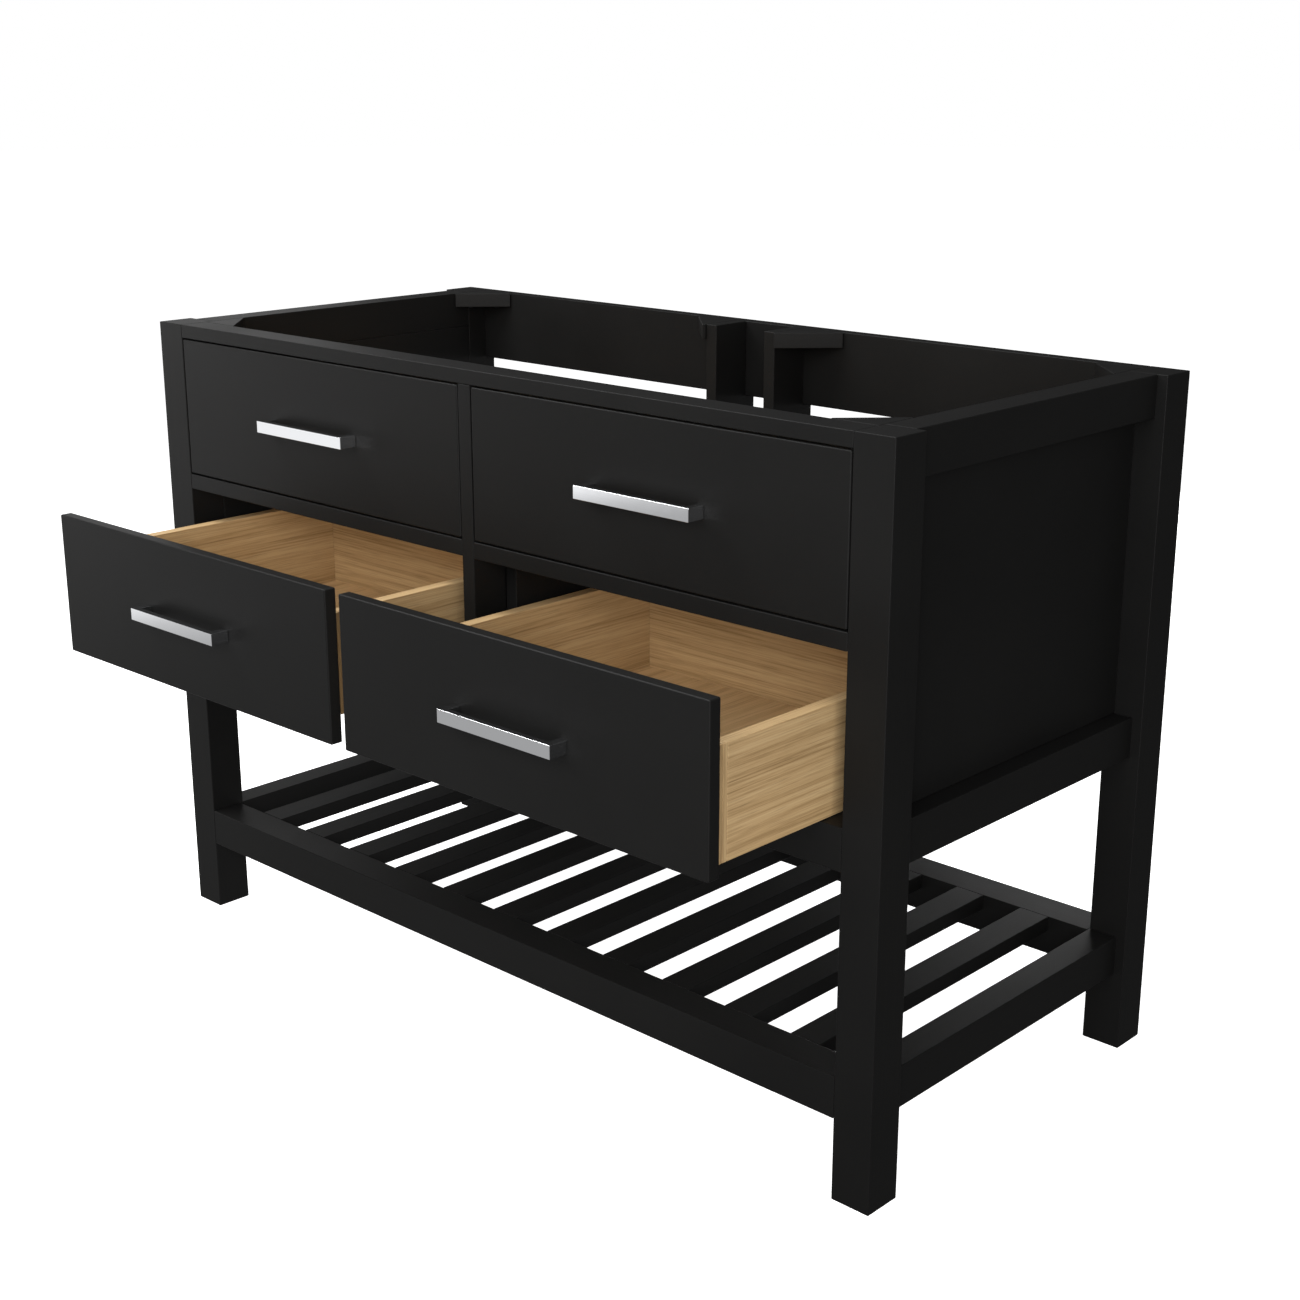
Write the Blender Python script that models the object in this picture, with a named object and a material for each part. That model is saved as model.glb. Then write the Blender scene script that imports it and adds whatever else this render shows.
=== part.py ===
"""Four-drawer vanity base with a slatted lower shelf, open top and open back.

Metres, +Z up, the front faces -Y.  The origin is on the floor at the middle of the
outline that the cabinet has with its two lower drawers standing part open.
Every board is its own object; each drawer hangs on an empty at its slide axis.
"""
import bmesh
import bpy

# ---------------------------------------------------------------- driving sizes
WIDTH = 1.2192            # over the posts
DEPTH = 0.5588            # over the posts
HEIGHT = 0.8367           # floor to the seat of the countertop
POST = 0.050              # square section of the four legs
GAP = 0.0003              # between boards that touch
REVEAL = 0.002            # shadow gap around a drawer front
EDGE = 0.0012             # eased edge of a painted board

RAIL_DEPTH = 0.039        # front to back, of the front rails
TOP_RAIL = 0.0173         # height of the top front rail
MID_RAIL = 0.020
STILE = 0.020
STILE_DEPTH = POST
MID_RAIL_BOTTOM = 0.6155
BODY_BOTTOM = 0.380       # underside of the closed body
BAND = 0.049              # height of the bottom front rail
SIDE_INSET = 0.0127       # side rails stand back from the posts' outer faces
SIDE_RAIL = 0.050         # height of a side rail
PANEL = 0.013             # thickness of a side panel
REAR_BOARD = 0.018        # thickness of the rear rails
REAR_RAIL = 0.1007        # height of the rear rails
BATTENS = {"left": -0.0549, "right": 0.0449}   # left faces of the battens beside the pipes
BATTEN = 0.0175           # thickness of a rear batten
BATTEN_REACH = 0.079      # how far a batten stands in from the back
BLOCK_LEG = 0.060         # legs of a corner block's triangle
BLOCK = 0.020             # thickness of a corner block
BOARD = 0.0177            # thickness of the boards that carry the centre runners
BOARD_TOP = 0.700

SHELF_TOP = 0.147
SHELF_RAIL = 0.050        # height of the shelf rails
SHELF_FRONT = 0.045       # front to back, of the shelf's front rail
SHELF_REAR_INSET = 0.0057
SLATS = 11
SLAT_WIDTH = 0.041
SLAT = 0.020

FRONT_BOARD = 0.016       # drawer front thickness
BOX_SIDE = 0.016          # thickness of a tray's sides and back
BOX_FRONT = 0.032         # thickness of the tray's own front
BOX_FLOOR = 0.006
OPEN_AT_REST = 0.202      # how far the lower drawers stand open
# Each tray: length, height, bottom above the drawer front's lower edge, inset of its sides
TRAYS = {("lower", "left"): (0.399, 0.1225, 0.0205, 0.030),
         ("lower", "right"): (0.456, 0.1230, -0.0010, 0.0245),
         ("upper", "left"): (0.400, 0.0750, 0.0010, 0.0245),
         ("upper", "right"): (0.400, 0.0750, 0.0010, 0.0245)}

PULL_LENGTH = 0.1685
PULL_REACH = 0.024
PULL_HEIGHT = 0.015
PULL_BAR = 0.008          # bar, front to back
PULL_FOOT = 0.010         # foot, left to right

RUNNER_PLATE = 0.002
RUNNER_HEIGHT = 0.034
RUNNER_RAISE = 0.006      # above the tray's lower edge
RUNNER_PLAY = 0.0015      # from the tray's side

# ---------------------------------------------------------------- derived places
SPAN = DEPTH + OPEN_AT_REST + PULL_REACH
FRONT = -SPAN / 2 + OPEN_AT_REST + PULL_REACH   # plane of the front frame
BACK = SPAN / 2
INNER_X = WIDTH / 2 - POST                      # inner faces of the posts
INNER_FRONT = FRONT + POST
INNER_BACK = BACK - POST
REAR_FACE = BACK - REAR_BOARD                   # front face of the rear rails
BAND_TOP = BODY_BOTTOM + BAND
MID_RAIL_TOP = MID_RAIL_BOTTOM + MID_RAIL
TOP_RAIL_BOTTOM = HEIGHT - TOP_RAIL
LOWER_OPENING = (BAND_TOP, MID_RAIL_BOTTOM)
UPPER_OPENING = (MID_RAIL_TOP, TOP_RAIL_BOTTOM)
BOARD_OUTER = STILE / 2 + BOARD
SIDES = (("left", -1), ("right", 1))


# ---------------------------------------------------------------- tools
def material(name, colour, roughness, metallic=0.0):
    made = bpy.data.materials.new(name)
    made.use_nodes = True
    shader = made.node_tree.nodes["Principled BSDF"]
    shader.inputs["Base Color"].default_value = (*colour, 1.0)
    shader.inputs["Roughness"].default_value = roughness
    shader.inputs["Metallic"].default_value = metallic
    return made


def link(name, mesh, finish, location, parent=None):
    made = bpy.data.objects.new(name, mesh)
    mesh.materials.append(finish)
    made.location = location
    made.parent = parent
    bpy.context.scene.collection.objects.link(made)
    return made


def ease(piece, width):
    """A small flat on every sharp edge."""
    bevel = piece.modifiers.new("eased edges", "BEVEL")
    bevel.width = width
    bevel.segments = 1
    bevel.limit_method = "ANGLE"


def cuboid(size):
    shape = bmesh.new()
    bmesh.ops.create_cube(shape, size=1.0)
    bmesh.ops.scale(shape, vec=size, verts=shape.verts)
    return shape


def finished(shape, name):
    bmesh.ops.recalc_face_normals(shape, faces=shape.faces)
    mesh = bpy.data.meshes.new(name)
    shape.to_mesh(mesh)
    shape.free()
    return mesh


def board(name, x, y, z, finish, parent=None, edge=EDGE):
    """A board between the limits x, y and z; its origin is at its middle."""
    size = [high - low for low, high in (x, y, z)]
    middle = [(high + low) / 2 for low, high in (x, y, z)]
    made = link(name, finished(cuboid(size), name), finish, middle, parent)
    ease(made, edge)
    return made


def prism(name, outline, axis, low, high, finish, parent=None, edge=0.0):
    """An outline in the plane across axis ("X", "Y" or "Z"), extruded from low to high."""
    place = {
        "X": lambda a, b: (low, a, b),
        "Y": lambda a, b: (a, low, b),
        "Z": lambda a, b: (a, b, low),
    }[axis]
    along = {"X": (1, 0, 0), "Y": (0, 1, 0), "Z": (0, 0, 1)}[axis]
    shape = bmesh.new()
    face = shape.faces.new([shape.verts.new(place(a, b)) for a, b in outline])
    swept = bmesh.ops.extrude_face_region(shape, geom=[face])
    moved = [item for item in swept["geom"] if isinstance(item, bmesh.types.BMVert)]
    bmesh.ops.translate(shape, verts=moved, vec=[step * (high - low) for step in along])
    made = link(name, finished(shape, name), finish, (0, 0, 0), parent)
    if edge:
        ease(made, edge)
    return made


def mirrored(outline, sign):
    return [(sign * a, b) for a, b in outline]


def span(sign, near, far):
    """X limits between two distances from the middle, on one side."""
    return tuple(sorted((sign * near, sign * far)))


# ---------------------------------------------------------------- the frame
def legs(paint):
    for side, sign in SIDES:
        for end, y in (("front", (FRONT, INNER_FRONT)), ("rear", (INNER_BACK, BACK))):
            board(f"leg_{end}_{side}", span(sign, INNER_X, WIDTH / 2), y, (0, HEIGHT), paint)


def front_frame(paint):
    depth = (FRONT, FRONT + RAIL_DEPTH)
    inner = INNER_X - GAP
    board("top_front_rail", (-inner, inner), depth, (TOP_RAIL_BOTTOM, HEIGHT), paint)
    board("bottom_front_rail", (-inner, inner), depth, (BODY_BOTTOM, BAND_TOP), paint)
    board("centre_stile", (-STILE / 2, STILE / 2), (FRONT, FRONT + STILE_DEPTH),
          (BAND_TOP + GAP, TOP_RAIL_BOTTOM - GAP), paint)
    for side, sign in SIDES:
        board(f"mid_rail_{side}", span(sign, STILE / 2 + GAP, inner), depth,
              (MID_RAIL_BOTTOM, MID_RAIL_TOP), paint)


def side_frames(paint):
    length = (INNER_FRONT + GAP, INNER_BACK - GAP)
    outer = WIDTH / 2 - SIDE_INSET
    top_bottom = HEIGHT - SIDE_RAIL
    low_top = BODY_BOTTOM + SIDE_RAIL
    for side, sign in SIDES:
        rail = span(sign, INNER_X, outer)
        board(f"side_top_rail_{side}", rail, length, (top_bottom, HEIGHT), paint)
        board(f"side_bottom_rail_{side}", rail, length, (BODY_BOTTOM, low_top), paint)
        board(f"side_panel_{side}", span(sign, INNER_X, INNER_X + PANEL), length,
              (low_top + GAP, top_bottom - GAP), paint)


def rear_frame(paint):
    inner = INNER_X - GAP
    top_low = HEIGHT - REAR_RAIL
    bottom_top = BODY_BOTTOM + REAR_RAIL
    board("rear_top_rail", (-inner, inner), (REAR_FACE, BACK), (top_low, HEIGHT), paint)
    board("rear_bottom_rail", (-inner, inner), (REAR_FACE, BACK), (BODY_BOTTOM, bottom_top), paint)
    face, reach = REAR_FACE - GAP, BACK - BATTEN_REACH
    notched = [(reach, BODY_BOTTOM), (face, BODY_BOTTOM), (face, bottom_top + GAP),
               (BACK, bottom_top + GAP), (BACK, top_low - GAP), (face, top_low - GAP),
               (face, HEIGHT), (reach, HEIGHT)]
    for side, left in BATTENS.items():
        prism(f"rear_batten_{side}", notched, "X", left, left + BATTEN, paint, edge=EDGE)


def corner_blocks(paint):
    corner_x = INNER_X - GAP
    ends = (("front", FRONT + RAIL_DEPTH + GAP, 1), ("rear", REAR_FACE - GAP, -1))
    for end, y, inward in ends:
        triangle = [(corner_x, y), (corner_x - BLOCK_LEG, y), (corner_x, y + inward * BLOCK_LEG)]
        for side, sign in SIDES:
            prism(f"corner_block_{end}_{side}", mirrored(triangle, sign), "Z",
                  HEIGHT - BLOCK, HEIGHT, paint)


def runner_boards(paint):
    """Boards on edge behind the stile; the drawers' inner runners are fixed to them."""
    for side, sign in SIDES:
        board(f"runner_board_{side}", span(sign, STILE / 2, BOARD_OUTER),
              (FRONT + STILE_DEPTH + GAP, REAR_FACE - GAP), (BODY_BOTTOM, BOARD_TOP), paint)


def shelf(paint):
    low = SHELF_TOP - SHELF_RAIL
    inner = INNER_X - GAP
    rear = BACK - SHELF_REAR_INSET - POST
    board("shelf_front_rail", (-inner, inner), (FRONT, FRONT + SHELF_FRONT), (low, SHELF_TOP), paint)
    board("shelf_rear_rail", (-inner, inner), (rear, rear + POST), (low, SHELF_TOP), paint)
    for side, sign in SIDES:
        board(f"shelf_side_rail_{side}", span(sign, INNER_X, WIDTH / 2 - SIDE_INSET),
              (INNER_FRONT + GAP, INNER_BACK - GAP), (low, SHELF_TOP), paint)
    space = (2 * INNER_X - SLATS * SLAT_WIDTH) / (SLATS + 1)
    for number in range(SLATS):
        left = -INNER_X + space + number * (SLAT_WIDTH + space)
        board(f"shelf_slat_{number + 1:02d}", (left, left + SLAT_WIDTH),
              (FRONT + SHELF_FRONT + GAP, rear - GAP), (SHELF_TOP - SLAT, SHELF_TOP), paint)


# ---------------------------------------------------------------- drawers
def hollow(piece, label, x, y, z):
    """Cut the cuboid between the limits x, y and z out of a piece; they share a parent."""
    size = [high - low for low, high in (x, y, z)]
    middle = [(high + low) / 2 for low, high in (x, y, z)]
    name = f"{piece.name}_{label}"
    cutter = link(name, finished(cuboid(size), name), piece.data.materials[0], middle, piece.parent)
    cutter.hide_render = True
    cutter.display_type = "WIRE"
    cut = piece.modifiers.new(label, "BOOLEAN")
    cut.operation = "DIFFERENCE"
    cut.object = cutter


def drawer_box(name, x, y, z, finish, parent):
    """A tray with a thick front board behind the drawer front."""
    size = [high - low for low, high in (x, y, z)]
    middle = [(high + low) / 2 for low, high in (x, y, z)]
    made = link(name, finished(cuboid(size), name), finish, middle, parent)
    beyond = 0.010
    hollow(made, "pocket", (x[0] + BOX_SIDE, x[1] - BOX_SIDE),
           (y[0] + BOX_FRONT, y[1] - BOX_SIDE), (z[0] + BOX_FLOOR, z[1] + beyond))
    ease(made, 0.0008)


def drawer_pull(name, x, y, z, finish, parent):
    """A square bar with a foot at each end."""
    left, right = x - PULL_LENGTH / 2, x + PULL_LENGTH / 2
    face, back = y - PULL_REACH, y - GAP
    inside = face + PULL_BAR
    outline = [(left, face), (right, face), (right, back), (right - PULL_FOOT, back),
               (right - PULL_FOOT, inside), (left + PULL_FOOT, inside),
               (left + PULL_FOOT, back), (left, back)]
    prism(name, outline, "Z", z - PULL_HEIGHT / 2, z + PULL_HEIGHT / 2, finish, parent, edge=0.0006)


def drawer(row, side, sign, opening, out, finishes):
    """Front, tray and pull on an empty that stands on the slide axis, under the tray."""
    paint, oak, chrome = finishes
    low, high = opening[0] + REVEAL, opening[1] - REVEAL
    ends = sorted((sign * (STILE / 2 + REVEAL), sign * (INNER_X - REVEAL)))
    middle = sum(ends) / 2
    axis = bpy.data.objects.new(f"drawer_{row}_{side}_slide", None)
    axis.location = (middle, FRONT - out, low)
    bpy.context.scene.collection.objects.link(axis)
    half = (ends[1] - ends[0]) / 2
    name = f"drawer_{row}_{side}"
    board(f"{name}_front", (-half, half), (0, FRONT_BOARD), (0, high - low), paint, axis, 0.002)
    start = FRONT_BOARD + GAP
    length, height, raised, inset = TRAYS[row, side]
    drawer_box(f"{name}_box", (inset - half, half - inset), (start, start + length),
               (raised, raised + height), oak, axis)
    drawer_pull(f"{name}_pull", 0, 0, (high - low) / 2, chrome, axis)


def runners(row, side, sign, opening, steel):
    """Fixed members of a drawer's runners: a channel on each side, open towards the tray."""
    _, _, raised, inset = TRAYS[row, side]
    low = opening[0] + REVEAL + raised + RUNNER_RAISE
    high = low + RUNNER_HEIGHT
    plate = RUNNER_PLATE
    walls = {"inner": (BOARD_OUTER + GAP, 1, STILE / 2 + REVEAL + inset, BACK - BATTEN_REACH),
             "outer": (INNER_X - GAP, -1, INNER_X - REVEAL - inset, INNER_BACK)}
    for place, (wall, inward, tray, end) in walls.items():
        near = tray - inward * RUNNER_PLAY
        web = wall + inward * plate
        profile = [(wall, low), (near, low), (near, low + plate), (web, low + plate),
                   (web, high - plate), (near, high - plate), (near, high), (wall, high)]
        prism(f"runner_{row}_{side}_{place}", mirrored(profile, sign), "Y",
              FRONT + STILE_DEPTH + GAP, end - GAP, steel)


# ---------------------------------------------------------------- the whole
def build():
    for old in list(bpy.data.objects):
        bpy.data.objects.remove(old, do_unlink=True)
    paint = material("black satin paint", (0.012, 0.012, 0.013), 0.38)
    oak = material("light oak", (0.50, 0.34, 0.18), 0.50)
    chrome = material("polished chrome", (0.80, 0.80, 0.82), 0.06, 1.0)
    steel = material("zinc plated steel", (0.55, 0.56, 0.58), 0.32, 1.0)
    legs(paint)
    front_frame(paint)
    side_frames(paint)
    rear_frame(paint)
    corner_blocks(paint)
    runner_boards(paint)
    shelf(paint)
    rows = (("lower", LOWER_OPENING, OPEN_AT_REST), ("upper", UPPER_OPENING, 0.0))
    for row, opening, out in rows:
        for side, sign in SIDES:
            drawer(row, side, sign, opening, out, (paint, oak, chrome))
            runners(row, side, sign, opening, steel)


build()
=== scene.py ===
import math

import bmesh
import bpy
from mathutils import Matrix, Vector


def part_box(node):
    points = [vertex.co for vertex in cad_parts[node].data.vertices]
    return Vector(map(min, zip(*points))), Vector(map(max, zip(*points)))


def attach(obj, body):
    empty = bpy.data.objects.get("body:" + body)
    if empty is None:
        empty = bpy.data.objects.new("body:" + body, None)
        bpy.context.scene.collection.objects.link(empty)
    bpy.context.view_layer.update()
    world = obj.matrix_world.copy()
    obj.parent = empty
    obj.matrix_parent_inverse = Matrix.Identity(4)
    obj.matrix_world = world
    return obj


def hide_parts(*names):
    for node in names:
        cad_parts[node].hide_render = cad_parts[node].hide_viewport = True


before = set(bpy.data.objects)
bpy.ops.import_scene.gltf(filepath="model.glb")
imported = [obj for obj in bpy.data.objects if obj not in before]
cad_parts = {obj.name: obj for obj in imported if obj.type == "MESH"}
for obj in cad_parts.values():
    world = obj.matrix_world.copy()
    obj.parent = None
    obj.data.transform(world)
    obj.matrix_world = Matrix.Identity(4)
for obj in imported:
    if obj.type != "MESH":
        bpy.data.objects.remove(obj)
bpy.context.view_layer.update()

# ---------------------------------------------------------------- names in the frame
BODY = "carcass"
SIDES = (("left", -1), ("right", 1))
ROWS = ("upper", "lower")

# ---------------------------------------------------------------- sizes, in metres
CLEARANCE = 0.0003        # between boards that meet
EDGE = 0.0010             # radius of a painted board's eased edge
FRONT_EDGE = 0.0019       # drawer fronts are rounder
TRAY_EDGE = 0.0007
PULL_EDGE = 0.0004
THIN_EDGE = 0.0003        # sheet metal, and the tray's floor

TRAY_SIDE = 0.016         # thickness of a tray's sides and back
TRAY_FRONT = 0.032
TRAY_FLOOR = 0.006
TRAY_BACK_STRIP = 0.020   # upright-grained strip at the right end of a tray's back
TRAY_BANDS = (0.0315, 0.0070)   # upright-grained strips at the front end of a tray's sides
TRAY_GAP = 0.0002         # between a tray's boards
TRAY_SEAM = 0.0006        # the open seams beside the strips
TRAY_STEP = 0.0005        # the back's top and the floor stand back this much

PULL_BAR = 0.008          # depth of a pull's bar
PULL_FOOT = 0.010         # width of its feet

BRACE = (0.066, 0.020)    # legs and thickness of the blocks beside the battens
BLOCK_CUT = 0.06          # share of a block's leg that its blunt tips take
FILLER_WIDTH = 0.011      # the strip beside the stile, its distance from it,
FILLER_AWAY = 0.0075      # and how far it stands behind the closed drawer front
FILLER_BEHIND = 0.0012

CHANNEL_PLATE = 0.0014    # a fixed runner's sheet, and the height of its lips
CHANNEL_LIP = 0.0055
MEMBER_PLATE = 0.0009     # the tray's half of a runner
MEMBER_LENGTH = 0.210
MEMBER_INSET = 0.012      # least distance from the tray's front end
ROLLER_RADIUS = 0.009
ROLLER_WIDTH = 0.008      # at most
ROLLER_INSET = 0.012      # from the tray's back end
ROLLER_PLAY = 0.0004      # beside the roller
ROLLER_LIFT = 0.0003      # under the roller
AXLE_RADIUS = 0.0022
AXLE_SINK = 0.0006        # how far the axle goes into the plate

BLOCK_SCREW = (0.0040, 0.0016)      # each screw's head: radius and height
PULL_SCREW = (0.0045, 0.0022)
FRONT_SCREW = (0.0042, 0.0018)
CHANNEL_SCREW = (0.0035, 0.0003)
HEAD_SINK = 0.0006        # how far a screw head or a dowel's end reaches into its surface
DOWEL_RADIUS = 0.0040
DOWEL_PROUD = 0.0004
DOWEL_INSET = 0.018       # from a tray's top and lower edges

ROUNDED_FROM = 30.0       # degrees: edges that turn more than this are rounded
SMOOTH_UP_TO = 35.0       # degrees: faces that turn less than this share their normals

# ---------------------------------------------------------------- the studio
AZIMUTH, ELEVATION = 43.182, 16.810           # the camera's, in degrees
LENS = 54.98
CAMERA_FROM_LEG = (1.0920, -1.5014, 0.3480)   # from the front right leg's outer top front corner
LIGHT_TARGET = (0, 0, 0.45)
LIGHTS = (                # name, place, width and height, power
    ("near_left", (-1.1, -0.65, 2.2), (1.0, 1.0), 36),
    ("left_low", (-2.8, -0.9, 1.0), (1.2, 1.2), 9),
    ("left_rear", (-3.0, 1.3, 1.3), (1.2, 1.2), 4.5),
    ("front_high", (0, -3.2, 2.8), (2.0, 2.0), 60),
    ("front_right", (1.6, -3.2, 2.2), (2.0, 2.0), 58),
    ("camera_side", (2.6, -2.2, 1.1), (1.6, 1.6), 80),
    ("overhead", (0, 0.2, 3.0), (2.4, 2.4), 40),
    ("rear_right", (2.6, 2.2, 2.0), (2.0, 2.0), 7),
    ("rear_low", (-0.5, 3.4, 0.45), (2.2, 0.6), 34),
)
WORLD_DIM = 0.045         # the world's strength, other than where the camera sees it
FLOOR_GREY = (0.28, 0.28, 0.28, 1.0)          # the floor, as the object's own light sees it
FLOOR_RADIUS = 24.0
# In reflections the floor is a grey card: (metres along the direction, brightness).
CARD_DIRECTION = (1.0, -0.1, 0.0)
CARD_SPAN = 3.0
CARD = ((-1.97, 1.0), (-1.74, 0.60), (-1.53, 0.44), (-1.0, 0.40), (0.0, 0.36), (0.5, 0.13), (1.5, 0.07))


# ---------------------------------------------------------------- node tools
class Shader:
    """A material's node tree with short calls for adding and joining nodes."""

    def __init__(self, name):
        self.material = bpy.data.materials.new(name)
        self.material.use_nodes = True
        self.tree = self.material.node_tree
        self.surface = self.tree.nodes["Principled BSDF"]

    def add(self, kind, **values):
        node = self.tree.nodes.new(kind)
        for key, value in values.items():
            if key in node.inputs:
                node.inputs[key].default_value = value
            else:
                setattr(node, key, value)
        return node

    def join(self, source, output, target, entry):
        self.tree.links.new(source.outputs[output], target.inputs[entry])

    def set(self, **values):
        for key, value in values.items():
            self.surface.inputs[key.replace("_", " ")].default_value = value

    def ramp(self, source, output, stops):
        node = self.add("ShaderNodeValToRGB")
        elements = node.color_ramp.elements
        while len(elements) < len(stops):
            elements.new(0.5)
        for element, (place, colour) in zip(elements, stops):
            element.position = place
            element.color = (*colour, 1.0)
        self.join(source, output, node, "Fac")
        return node

    def stretched(self, scale):
        """Object coordinates, scaled: a low first number makes what follows run along local X."""
        place = self.add("ShaderNodeTexCoord")
        mapping = self.add("ShaderNodeMapping")
        mapping.inputs["Scale"].default_value = scale
        self.join(place, "Object", mapping, "Vector")
        return mapping

    def noise(self, mapping, scale, detail=4.0, rough=0.55, distortion=0.0):
        node = self.add("ShaderNodeTexNoise", Scale=scale, Detail=detail, Roughness=rough,
                        Distortion=distortion)
        self.join(mapping, "Vector", node, "Vector")
        return node

    def grey(self, source, output, low, high, first=0.0, last=1.0):
        node = self.add("ShaderNodeMapRange")
        for entry, value in zip(("From Min", "From Max", "To Min", "To Max"), (first, last, low, high)):
            node.inputs[entry].default_value = value
        self.join(source, output, node, "Value")
        return node

    def bump(self, source, output, distance, under=None):
        node = self.add("ShaderNodeBump", Distance=distance, Strength=1.0)
        self.join(source, output, node, "Height")
        if under:
            self.join(under, "Normal", node, "Normal")
        return node


# ---------------------------------------------------------------- materials
def black_paint():
    """Satin black lacquer: faint grain telegraphing through, orange peel, rubbed sheen."""
    made = Shader("black satin paint")
    grain = made.noise(made.stretched((1.2, 60.0, 60.0)), 3.0, 5.0, 0.6)
    peel = made.noise(made.stretched((1.0, 1.0, 1.0)), 900.0, 2.0, 0.5)
    cloud = made.noise(made.stretched((1.0, 1.0, 1.0)), 5.0, 3.0, 0.5)
    colour = made.ramp(cloud, "Fac", [(0.3, (0.0056, 0.0055, 0.0054)),
                                      (0.7, (0.0068, 0.0067, 0.0065))])
    made.join(colour, "Color", made.surface, "Base Color")
    gloss = made.grey(cloud, "Fac", 0.44, 0.52, 0.25, 0.75)
    made.join(gloss, "Result", made.surface, "Roughness")
    fine = made.bump(peel, "Fac", 0.00005)
    both = made.bump(grain, "Fac", 0.00010, fine)
    made.join(both, "Normal", made.surface, "Normal")
    made.set(Specular_IOR_Level=0.12)
    return made.material


def oak(name, light, mid, dark):
    """Straight-grained oak along local X: broad bands, fine streaks and short open pores."""
    made = Shader(name)
    wave = made.noise(made.stretched((0.9, 1.6, 1.6)), 2.2, 2.0, 0.5)
    bands = made.noise(made.stretched((0.30, 30.0, 30.0)), 2.4, 4.0, 0.58, 0.10)
    streaks = made.noise(made.stretched((2.6, 180.0, 180.0)), 2.6, 5.0, 0.70)
    pores = made.noise(made.stretched((12.0, 620.0, 620.0)), 1.6, 2.0, 0.5)
    blend = made.add("ShaderNodeMix", data_type="FLOAT")
    blend.inputs["Factor"].default_value = 0.60
    made.join(bands, "Fac", blend, "A")
    made.join(streaks, "Fac", blend, "B")
    figure = made.ramp(blend, "Result", [(0.38, dark), (0.48, mid), (0.57, light)])
    tone = made.grey(wave, "Fac", 0.90, 1.08, 0.3, 0.7)
    pore = made.grey(pores, "Fac", 0.74, 1.0, 0.30, 0.44)
    shade = made.add("ShaderNodeMath", operation="MULTIPLY")
    made.join(tone, "Result", shade, 0)
    made.join(pore, "Result", shade, 1)
    coloured = made.add("ShaderNodeVectorMath", operation="SCALE")
    made.join(figure, "Color", coloured, "Vector")
    made.join(shade, "Value", coloured, "Scale")
    made.join(coloured, "Vector", made.surface, "Base Color")
    gloss = made.grey(streaks, "Fac", 0.46, 0.60, 0.3, 0.7)
    made.join(gloss, "Result", made.surface, "Roughness")
    first = made.bump(pores, "Fac", 0.00012)
    second = made.bump(streaks, "Fac", 0.00010, first)
    made.join(second, "Normal", made.surface, "Normal")
    made.set(Specular_IOR_Level=0.35)
    return made.material


def chrome():
    """Polished chrome with faint smears and buffing lines along the bar."""
    made = Shader("polished chrome")
    smear = made.noise(made.stretched((1.0, 1.0, 1.0)), 60.0, 3.0, 0.5)
    gloss = made.grey(smear, "Fac", 0.035, 0.085, 0.3, 0.7)
    made.join(gloss, "Result", made.surface, "Roughness")
    buffing = made.noise(made.stretched((4.0, 900.0, 900.0)), 2.0, 2.0, 0.5)
    made.join(made.bump(buffing, "Fac", 0.000004), "Normal", made.surface, "Normal")
    made.set(Base_Color=(0.86, 0.87, 0.89, 1.0), Metallic=1.0)
    return made.material


def zinc(name="zinc plated steel", colour=(0.52, 0.53, 0.55)):
    """Plated steel: fine spangle, with drawing lines along local X."""
    made = Shader(name)
    spangle = made.add("ShaderNodeTexVoronoi", Scale=260.0)
    made.join(made.stretched((1.0, 1.0, 1.0)), "Vector", spangle, "Vector")
    drawn = made.noise(made.stretched((3.0, 300.0, 300.0)), 2.0, 3.0, 0.5)
    tint = made.ramp(spangle, "Color", [(0.0, [0.90 * c for c in colour]),
                                        (1.0, [1.08 * c for c in colour])])
    made.join(tint, "Color", made.surface, "Base Color")
    gloss = made.grey(drawn, "Fac", 0.28, 0.42, 0.3, 0.7)
    made.join(gloss, "Result", made.surface, "Roughness")
    made.join(made.bump(drawn, "Fac", 0.00002), "Normal", made.surface, "Normal")
    made.set(Metallic=1.0)
    return made.material


def plastic(name, colour, roughness):
    """Moulded plastic with a very fine grain."""
    made = Shader(name)
    grain = made.noise(made.stretched((1.0, 1.0, 1.0)), 700.0, 2.0, 0.5)
    tint = made.ramp(grain, "Fac", [(0.3, [0.92 * c for c in colour]),
                                    (0.7, [1.06 * c for c in colour])])
    made.join(tint, "Color", made.surface, "Base Color")
    made.join(made.bump(grain, "Fac", 0.00003), "Normal", made.surface, "Normal")
    made.set(Roughness=roughness)
    return made.material


PAINT = black_paint()
OAK = oak("light oak", (0.520, 0.362, 0.186), (0.440, 0.291, 0.139), (0.285, 0.178, 0.078))
# The tray floors' oak is lighter than the sides' oak partly as a paler veneer and partly as painted
# light: its colours are raised about a third to stand in for light falling on the floor inside the
# tray.
OAK_PLY_PAINTED_LIGHT = oak("oak veneer with painted light", (0.655, 0.460, 0.242), (0.565, 0.380, 0.188), (0.400, 0.250, 0.114))
CHROME = chrome()
ZINC = zinc()
DARK_STEEL = zinc("black zinc screw", (0.10, 0.10, 0.105))
NYLON = plastic("white nylon", (0.68, 0.67, 0.63), 0.40)


# ---------------------------------------------------------------- mesh tools
def steady_normals(mesh):
    """Corner normals weighted by area, so that a flat stays flat up to its rounded edge."""
    mesh.shade_smooth()
    limit = math.cos(math.radians(SMOOTH_UP_TO))
    around = {}
    for face in mesh.polygons:
        for vertex in face.vertices:
            around.setdefault(vertex, []).append(face)
    normals = []
    for face in mesh.polygons:
        for vertex in face.vertices:
            total = Vector()
            for other in around[vertex]:
                if other.normal.dot(face.normal) > limit:
                    total += other.area * other.normal
            normals.append(total.normalized())
    mesh.normals_split_custom_set(normals)


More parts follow.
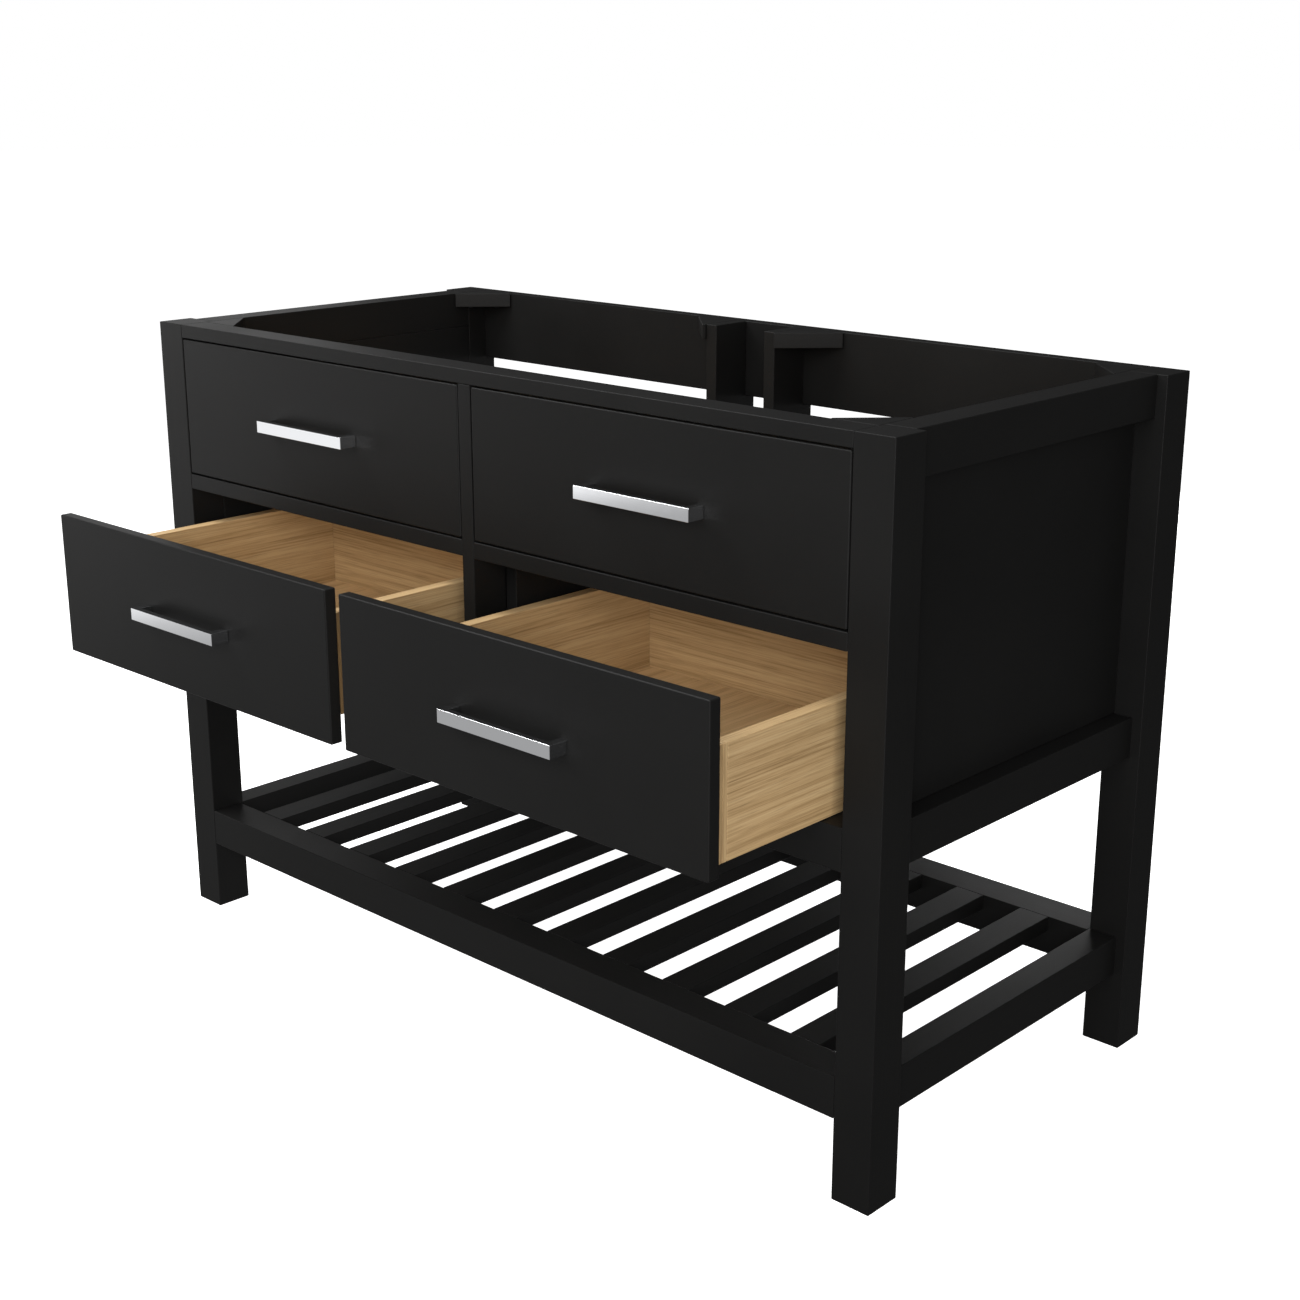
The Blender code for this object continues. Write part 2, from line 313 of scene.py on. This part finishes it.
def to_object(shape, name, finish, matrix, body, nodes=()):
    """An object from a finished bmesh; it rides on a body and may stand for CAD nodes."""
    bmesh.ops.recalc_face_normals(shape, faces=shape.faces)
    mesh = bpy.data.meshes.new(name)
    shape.to_mesh(mesh)
    shape.free()
    mesh.materials.append(finish)
    steady_normals(mesh)
    made = bpy.data.objects.new(name, mesh)
    bpy.context.scene.collection.objects.link(made)
    made.matrix_world = matrix
    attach(made, body)
    if nodes:
        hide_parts(*nodes)
    return made


def along(axis):
    """A rotation that lays local X along the world axis named."""
    return {"X": Matrix.Identity(3),
            "Y": Matrix(((0, -1, 0), (1, 0, 0), (0, 0, 1))),
            "Z": Matrix(((0, 0, -1), (0, 1, 0), (1, 0, 0)))}[axis]


def round_edges(shape, radius, segments=3):
    edges = [edge for edge in shape.edges
             if len(edge.link_faces) == 2 and edge.calc_face_angle() > math.radians(ROUNDED_FROM)]
    bmesh.ops.bevel(shape, geom=edges, offset=radius, segments=segments, profile=0.5,
                    affect="EDGES", clamp_overlap=True)


def board(name, low, high, grain, finish, body, nodes=(), edge=EDGE):
    """A board between two corners, with its grain and local X along one world axis."""
    low, high = Vector(low), Vector(high)
    turn = along(grain)
    size = turn.inverted() @ (high - low)
    shape = bmesh.new()
    bmesh.ops.create_cube(shape, size=1.0)
    bmesh.ops.scale(shape, vec=[abs(side) for side in size], verts=shape.verts)
    round_edges(shape, edge)
    place = Matrix.Translation((low + high) / 2) @ turn.to_4x4()
    return to_object(shape, name, finish, place, body, nodes)


def cad_board(node, grain, body=BODY, edge=EDGE):
    """A painted board that stands for a CAD node and fills its box."""
    low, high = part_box(node)
    return board(f"{node}_board", low, high, grain, PAINT, body, [node], edge)


def outline_solid(outline, depth):
    """A closed outline in local XY, from 0 up to depth on local Z."""
    shape = bmesh.new()
    face = shape.faces.new([shape.verts.new((a, b, 0.0)) for a, b in outline])
    swept = bmesh.ops.extrude_face_region(shape, geom=[face])
    moved = [item for item in swept["geom"] if isinstance(item, bmesh.types.BMVert)]
    bmesh.ops.translate(shape, verts=moved, vec=(0, 0, depth))
    return shape


def lathe(profile, steps=28):
    """A profile of (radius, height) points turned about local Z."""
    shape = bmesh.new()
    previous = None
    for radius, height in profile:
        if radius < 1e-6:
            ring = [shape.verts.new((0, 0, height))]
        else:
            ring = [shape.verts.new((radius * math.cos(2 * math.pi * step / steps),
                                     radius * math.sin(2 * math.pi * step / steps), height))
                    for step in range(steps)]
        if previous:
            for step in range(steps):
                after = (step + 1) % steps
                corners = [previous[step % len(previous)], previous[after % len(previous)],
                           ring[after % len(ring)], ring[step % len(ring)]]
                shape.faces.new(list(dict.fromkeys(corners)))
        previous = ring
    return shape


def facing(direction):
    """A rotation that points local Z along a direction."""
    return Vector(direction).to_track_quat("Z", "Y").to_matrix().to_4x4()


def screw(name, point, direction, body, finish, head):
    """A pan head with a sunk round drive; the point is on the surface that it sits on."""
    radius, height = head
    shape = lathe([(0, -HEAD_SINK), (radius, -HEAD_SINK), (radius, height * 0.35),
                   (radius * 0.86, height * 0.8), (radius * 0.5, height), (0, height)], 20)
    drive = [face for face in shape.faces if face.calc_center_median().z > height * 0.9]
    bmesh.ops.recalc_face_normals(shape, faces=shape.faces)
    bmesh.ops.inset_region(shape, faces=drive, thickness=radius * 0.12)
    for face in drive:
        for vert in face.verts:
            vert.co.z = min(vert.co.z, height * 0.45)
    return to_object(shape, name, finish, Matrix.Translation(point) @ facing(direction), body)


# ---------------------------------------------------------------- the body
def painted_boards():
    """Every straight board of the frame and the shelf, with its grain along its length."""
    for side, _ in SIDES:
        for end in ("front", "rear"):
            cad_board(f"leg_{end}_{side}", "Z")
        cad_board(f"mid_rail_{side}", "X")
        cad_board(f"side_top_rail_{side}", "Y")
        cad_board(f"side_bottom_rail_{side}", "Y")
        cad_board(f"side_panel_{side}", "Y")
        cad_board(f"shelf_side_rail_{side}", "Y")
        cad_board(f"runner_board_{side}", "Y")
    for node in ("top_front_rail", "bottom_front_rail", "rear_top_rail", "rear_bottom_rail",
                 "shelf_front_rail", "shelf_rear_rail"):
        cad_board(node, "X")
    cad_board("centre_stile", "Z")
    for node in sorted(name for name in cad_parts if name.startswith("shelf_slat")):
        cad_board(node, "Y")


def triangle_block(name, corner, inward_x, inward_y, legs, thick, nodes=()):
    """A block with a right angle at corner (its lower face), legs along X and Y."""
    cut = legs * BLOCK_CUT
    outline = [(0, 0), (legs - cut, 0), (legs, cut * 0.6), (cut * 0.6, legs), (0, legs - cut)]
    shape = outline_solid([(inward_x * a, inward_y * b) for a, b in outline], thick)
    bmesh.ops.recalc_face_normals(shape, faces=shape.faces)
    round_edges(shape, EDGE)
    return to_object(shape, name, PAINT, Matrix.Translation(corner), BODY, nodes)


def corner_blocks():
    """The blocks under the countertop, each with two screws from below."""
    for end, inward_y in (("front", 1), ("rear", -1)):
        for side, sign in SIDES:
            node = f"corner_block_{end}_{side}"
            low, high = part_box(node)
            corner = (high[0] if sign > 0 else low[0], low[1] if inward_y > 0 else high[1], low[2])
            triangle_block(f"{node}_wood", corner, -sign, inward_y, high[0] - low[0],
                           high[2] - low[2], [node])
            for share in ((0.62, 0.16), (0.16, 0.62)):
                point = (corner[0] - sign * share[0] * (high[0] - low[0]),
                         corner[1] + inward_y * share[1] * (high[1] - low[1]), low[2])
                screw(f"block_screw_{end}_{side}_{int(share[0] * 100)}", point, (0, 0, -1),
                      BODY, DARK_STEEL, BLOCK_SCREW)


def rear_battens():
    """Uprights behind the stile, notched over both rear rails, with a block beside each."""
    rail_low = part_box("rear_top_rail")[0]
    bottom_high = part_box("rear_bottom_rail")[1]
    for side, sign in SIDES:
        node = f"rear_batten_{side}"
        low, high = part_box(node)
        face = rail_low[1] - CLEARANCE
        notch_low, notch_high = bottom_high[2] + CLEARANCE, rail_low[2] - CLEARANCE
        notched = [(low[1], low[2]), (face, low[2]), (face, notch_low), (high[1], notch_low),
                   (high[1], notch_high), (face, notch_high), (face, high[2]), (low[1], high[2])]
        middle = ((low[1] + high[1]) / 2, (low[2] + high[2]) / 2)
        shape = outline_solid([(b - middle[1], a - middle[0]) for a, b in notched], high[0] - low[0])
        bmesh.ops.recalc_face_normals(shape, faces=shape.faces)
        round_edges(shape, EDGE)
        turn = Matrix(((0, 0, 1), (0, 1, 0), (1, 0, 0))).to_4x4()
        place = Matrix.Translation((low[0], middle[0], middle[1])) @ turn
        to_object(shape, f"{node}_board", PAINT, place, BODY, [node])
        legs, thick = BRACE
        corner_x = high[0] + CLEARANCE if sign > 0 else low[0] - CLEARANCE
        triangle_block(f"batten_brace_{side}", (corner_x, face, high[2] - thick), sign, -1, legs, thick)


def opening_filler():
    """The narrow strip beside the stile in the lower left opening, behind the closed front."""
    stile_low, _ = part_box("centre_stile")
    front_low, front_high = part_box("drawer_lower_left_front")
    _, rail_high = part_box("bottom_front_rail")
    mid_low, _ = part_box("mid_rail_left")
    right = stile_low[0] - FILLER_AWAY
    front = stile_low[1] + (front_high[1] - front_low[1]) + FILLER_BEHIND
    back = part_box("runner_board_left")[0][1] - CLEARANCE
    board("opening_filler_left", (right - FILLER_WIDTH, front, rail_high[2] + CLEARANCE),
          (right, back, mid_low[2] - CLEARANCE), "Z", PAINT, BODY)


def plug(name, point, direction, body):
    """The end of a dowel: sunk a little, and proud of the point given by DOWEL_PROUD."""
    shape = lathe([(0, -HEAD_SINK), (DOWEL_RADIUS, -HEAD_SINK), (DOWEL_RADIUS, 0.0),
                   (DOWEL_RADIUS - DOWEL_PROUD, DOWEL_PROUD), (0, DOWEL_PROUD)], 20)
    to_object(shape, name, OAK, Matrix.Translation(point) @ facing(direction), body)


# ---------------------------------------------------------------- drawers
def pull(drawer, body):
    """A flat bar with a foot at each end, the screws that hold it, and those of the front."""
    node = f"{drawer}_pull"
    low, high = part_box(node)
    bar, foot = PULL_BAR, PULL_FOOT
    depth = high[1] - low[1]
    half = (high[0] - low[0]) / 2
    outline = [(-half, 0), (half, 0), (half, depth), (half - foot, depth), (half - foot, bar),
               (foot - half, bar), (foot - half, depth), (-half, depth)]
    shape = outline_solid(outline, high[2] - low[2])
    bmesh.ops.recalc_face_normals(shape, faces=shape.faces)
    round_edges(shape, PULL_EDGE)
    to_object(shape, f"{drawer}_bar_pull", CHROME,
              Matrix.Translation((low[0] + half, low[1], low[2])), body, [node])
    tray_low, tray_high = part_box(f"{drawer}_box")
    middle = (low[2] + high[2]) / 2
    through_tray = middle < tray_high[2] - 0.008
    inside = tray_low[1] + TRAY_FRONT if through_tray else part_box(f"{drawer}_front")[1][1]
    for end, x in (("left", low[0] + foot / 2), ("right", high[0] - foot / 2)):
        screw(f"{drawer}_pull_screw_{end}", (x, inside, middle), (0, 1, 0), body, ZINC, PULL_SCREW)
    quarter = (tray_high[0] - tray_low[0]) / 4
    for end, x in (("left", tray_low[0] + quarter), ("right", tray_high[0] - quarter)):
        point = (x, tray_low[1] + TRAY_FRONT, tray_low[2] + (tray_high[2] - tray_low[2]) * 0.4)
        screw(f"{drawer}_front_screw_{end}", point, (0, 1, 0), body, ZINC, FRONT_SCREW)


def tray(drawer, body):
    """Sides, front, back and floor, each with its own grain; upright strips close the ends."""
    low, high = (Vector(corner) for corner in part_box(f"{drawer}_box"))
    gap = TRAY_GAP
    left, right = low.x + TRAY_SIDE, high.x - TRAY_SIDE
    node = [f"{drawer}_box"]
    for end, outer, inner in (("left", low.x, left), ("right", right, high.x)):
        start = low.y
        for number, width in enumerate(TRAY_BANDS):
            board(f"{drawer}_tray_strip_{end}_{number + 1}", (outer, start, low.z),
                  (inner, start + width - TRAY_SEAM, high.z), "Z", OAK, body, node, TRAY_EDGE)
            start += width
            node = []
        board(f"{drawer}_tray_side_{end}", (outer, start, low.z), (inner, high.y, high.z), "Y", OAK,
              body, (), TRAY_EDGE)
    board(f"{drawer}_tray_front", (left + gap, low.y, low.z),
          (right - gap, low.y + TRAY_FRONT, high.z), "X", OAK, body, (), TRAY_EDGE)
    back_end = right - TRAY_BACK_STRIP
    board(f"{drawer}_tray_back", (left + gap, high.y - TRAY_SIDE, low.z),
          (back_end, high.y, high.z - TRAY_STEP), "X", OAK, body, (), TRAY_EDGE)
    board(f"{drawer}_tray_back_strip", (back_end + gap, high.y - TRAY_SIDE, low.z),
          (right - gap, high.y, high.z - TRAY_STEP), "Z", OAK, body, (), TRAY_EDGE)
    # the floor's oak carries painted light: it is made lighter to stand in for light falling into the
    # tray
    board(f"{drawer}_tray_floor", (left + gap, low.y + TRAY_FRONT + gap, low.z + TRAY_STEP),
          (right - gap, high.y - TRAY_SIDE - gap, low.z + TRAY_FLOOR), "Y", OAK_PLY_PAINTED_LIGHT, body, (),
          THIN_EDGE)
    for end, x in (("left", left - TRAY_SIDE / 2), ("right", right + TRAY_SIDE / 2)):
        for number in range(3):
            z = low.z + DOWEL_INSET + number * (high.z - low.z - 2 * DOWEL_INSET) / 2
            plug(f"{drawer}_dowel_{end}_{number + 1}", (x, high.y - DOWEL_PROUD, z), (0, 1, 0), body)


def drawers():
    for row in ROWS:
        for side, _ in SIDES:
            drawer = f"drawer_{row}_{side}"
            cad_board(f"{drawer}_front", "X", drawer, FRONT_EDGE)
            tray(drawer, drawer)
            pull(drawer, drawer)


# ---------------------------------------------------------------- runners
def channel_frame(node):
    """A channel's corners, the X of its wall side, and the direction that it opens in."""
    low, high = (Vector(corner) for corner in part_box(node))
    middle = (low.x + high.x) / 2
    inner = node.endswith("inner")
    inward = (1 if middle > 0 else -1) * (1 if inner else -1)
    wall = low.x if inward > 0 else high.x
    return low, high, wall, inward


def roller(name, point, radius, width, body):
    """A nylon wheel with blunt rims and its steel pin, turning about X."""
    half = width / 2
    wheel = lathe([(0.0026, -half), (radius * 0.94, -half), (radius, -half * 0.7),
                   (radius, half * 0.7), (radius * 0.94, half), (0.0026, half)], 32)
    place = Matrix.Translation(point) @ facing((1, 0, 0))
    to_object(wheel, name, NYLON, place, body)
    pin = lathe([(0, -half - 0.0007), (0.0019, -half - 0.0007), (0.0025, -half - 0.0002),
                 (0.0025, half + 0.0003), (0, half + 0.0003)], 16)
    to_object(pin, f"{name}_pin", ZINC, place, body)


def fixed_runner(node):
    """A rolled channel with turned-in lips, screwed to the wall behind it."""
    low, high, wall, inward = channel_frame(node)
    width, height, length = high.x - low.x, high.z - low.z, high.y - low.y
    plate, lip = CHANNEL_PLATE, CHANNEL_LIP
    section = [(0, 0), (width, 0), (width, lip), (width - plate, lip), (width - plate, plate),
               (plate, plate), (plate, height - plate), (width - plate, height - plate),
               (width - plate, height - lip), (width, height - lip), (width, height), (0, height)]
    shape = outline_solid([(inward * a, b) for a, b in section], length)
    bmesh.ops.recalc_face_normals(shape, faces=shape.faces)
    round_edges(shape, THIN_EDGE, 2)
    upright = Matrix(((1, 0, 0), (0, 0, -1), (0, 1, 0))).to_4x4()
    to_object(shape, f"{node}_channel", ZINC, Matrix.Translation((wall, high.y, low.z)) @ upright,
              BODY, [node])
    for number, share in enumerate((0.06, 0.5, 0.94)):
        point = (wall + inward * plate, low.y + share * length, (low.z + high.z) / 2)
        screw(f"{node}_screw_{number + 1}", point, (inward, 0, 0), BODY, DARK_STEEL, CHANNEL_SCREW)


def moving_member(drawer, place):
    """A thin plate on the tray's side, with a roller that runs in the fixed channel."""
    low, high, _, inward = channel_frame(f"runner_{drawer[7:]}_{place}")
    tray_low, tray_high = (Vector(corner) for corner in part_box(f"{drawer}_box"))
    open_edge = high.x if inward > 0 else low.x
    nearer_low = abs(tray_low.x - open_edge) < abs(tray_high.x - open_edge)
    face = tray_low.x if nearer_low else tray_high.x
    outer = face - inward * MEMBER_PLATE
    start = max(tray_low.y + MEMBER_INSET, tray_high.y - MEMBER_LENGTH)
    board(f"{drawer}_member_{place}", (min(face, outer), start, tray_low.z + 0.002),
          (max(face, outer), tray_high.y - 0.001, high.z - CHANNEL_LIP), "Y", ZINC, drawer, (),
          THIN_EDGE)
    width = min(high.x - low.x - 2 * CHANNEL_PLATE - 0.0014, ROLLER_WIDTH)
    mouth = open_edge - inward * (CHANNEL_PLATE + ROLLER_PLAY)
    middle = mouth - inward * width / 2
    end = tray_high.y - ROLLER_INSET
    centre = low.z + CHANNEL_PLATE + ROLLER_LIFT + ROLLER_RADIUS
    roller(f"{drawer}_roller_{place}", (middle, end, centre), ROLLER_RADIUS, width, drawer)
    reach = abs(outer - middle) - width / 2 + AXLE_SINK
    axle = lathe([(0, 0), (AXLE_RADIUS, 0), (AXLE_RADIUS, reach), (0, reach)], 16)
    to_object(axle, f"{drawer}_axle_{place}", ZINC,
              Matrix.Translation((mouth, end, centre)) @ facing((inward, 0, 0)), drawer)


def runners():
    for row in ROWS:
        for side, _ in SIDES:
            for place in ("inner", "outer"):
                fixed_runner(f"runner_{row}_{side}_{place}")
                moving_member(f"drawer_{row}_{side}", place)


# ---------------------------------------------------------------- camera, light, floor
def camera():
    """At the photograph's viewing angle, placed from the front right leg."""
    leg_low, leg_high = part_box("leg_front_right")
    right, forward, up = CAMERA_FROM_LEG
    data = bpy.data.cameras.new("camera")
    data.sensor_width = 36.0
    data.lens = LENS
    made = bpy.data.objects.new("camera", data)
    made.location = (leg_high[0] + right, leg_low[1] + forward, leg_high[2] + up)
    made.rotation_euler = (math.pi / 2 - math.radians(ELEVATION), 0, math.radians(AZIMUTH))
    bpy.context.scene.collection.objects.link(made)
    bpy.context.scene.camera = made


def area_light(name, location, size, power):
    """A soft rectangle of light that points at the middle of the object."""
    data = bpy.data.lights.new(name, "AREA")
    data.shape = "RECTANGLE"
    data.size, data.size_y = size
    data.energy = power
    made = bpy.data.objects.new(name, data)
    made.location = location
    aim = Vector(LIGHT_TARGET) - Vector(location)
    made.rotation_euler = aim.to_track_quat("-Z", "Y").to_euler()
    bpy.context.scene.collection.objects.link(made)


def pale_floor():
    """Plain and pale to the camera; a graded grey card in reflections; grey to other rays."""
    made = Shader("pale floor")
    ray = made.add("ShaderNodeLightPath")
    cloud = made.noise(made.stretched((1.0, 1.0, 1.0)), 3.0, 2.0, 0.5)
    pale = made.ramp(cloud, "Fac", [(0.3, (0.90, 0.90, 0.90)), (0.7, (0.93, 0.93, 0.93))])
    grey = made.add("ShaderNodeMix", data_type="RGBA")
    grey.inputs[6].default_value = FLOOR_GREY
    made.join(ray, "Is Camera Ray", grey, 0)
    made.join(pale, "Color", grey, 7)
    base = made.add("ShaderNodeMix", data_type="RGBA")
    base.inputs[7].default_value = (0.0, 0.0, 0.0, 1.0)
    made.join(ray, "Is Glossy Ray", base, 0)
    made.join(grey, 2, base, 6)
    made.join(base, 2, made.surface, "Base Color")
    place = made.add("ShaderNodeTexCoord")
    across = made.add("ShaderNodeVectorMath", operation="DOT_PRODUCT")
    across.inputs[1].default_value = CARD_DIRECTION
    made.join(place, "Object", across, 0)
    spread = made.grey(across, "Value", 0.0, 1.0, -CARD_SPAN, CARD_SPAN)
    stops = [((where + CARD_SPAN) / (2 * CARD_SPAN), (level, level, level)) for where, level in CARD]
    card = made.ramp(spread, "Result", stops)
    glossy = made.add("ShaderNodeMath", operation="MULTIPLY_ADD")
    made.join(ray, "Is Glossy Ray", glossy, 0)
    made.join(card, "Color", glossy, 1)
    made.join(ray, "Is Camera Ray", glossy, 2)
    made.join(glossy, "Value", made.surface, "Emission Strength")
    made.set(Roughness=0.8, Specular_IOR_Level=0.1, Emission_Color=(1.0, 1.0, 1.0, 1.0))
    return made.material


def studio():
    """A white surround that is dim to all but the camera, soft lights and the floor."""
    scene = bpy.context.scene
    scene.view_settings.view_transform = "Standard"
    world = bpy.data.worlds.new("studio")
    world.use_nodes = True
    background = world.node_tree.nodes["Background"]
    background.inputs["Color"].default_value = (1.0, 1.0, 1.0, 1.0)
    path = world.node_tree.nodes.new("ShaderNodeLightPath")
    seen = world.node_tree.nodes.new("ShaderNodeMapRange")
    seen.inputs["To Min"].default_value = WORLD_DIM
    seen.inputs["To Max"].default_value = 1.0
    world.node_tree.links.new(path.outputs["Is Camera Ray"], seen.inputs["Value"])
    world.node_tree.links.new(seen.outputs["Result"], background.inputs["Strength"])
    scene.world = world
    for name, place, size, power in LIGHTS:
        area_light(name, place, size, power)
    shape = bmesh.new()
    bmesh.ops.create_circle(shape, cap_ends=True, segments=96, radius=FLOOR_RADIUS)
    mesh = bpy.data.meshes.new("studio_floor")
    shape.to_mesh(mesh)
    shape.free()
    floor = bpy.data.objects.new("studio_floor", mesh)
    floor.location = (0, 0, -0.0005)
    mesh.materials.append(pale_floor())
    scene.collection.objects.link(floor)


camera()
studio()
painted_boards()
corner_blocks()
rear_battens()
opening_filler()
drawers()
runners()
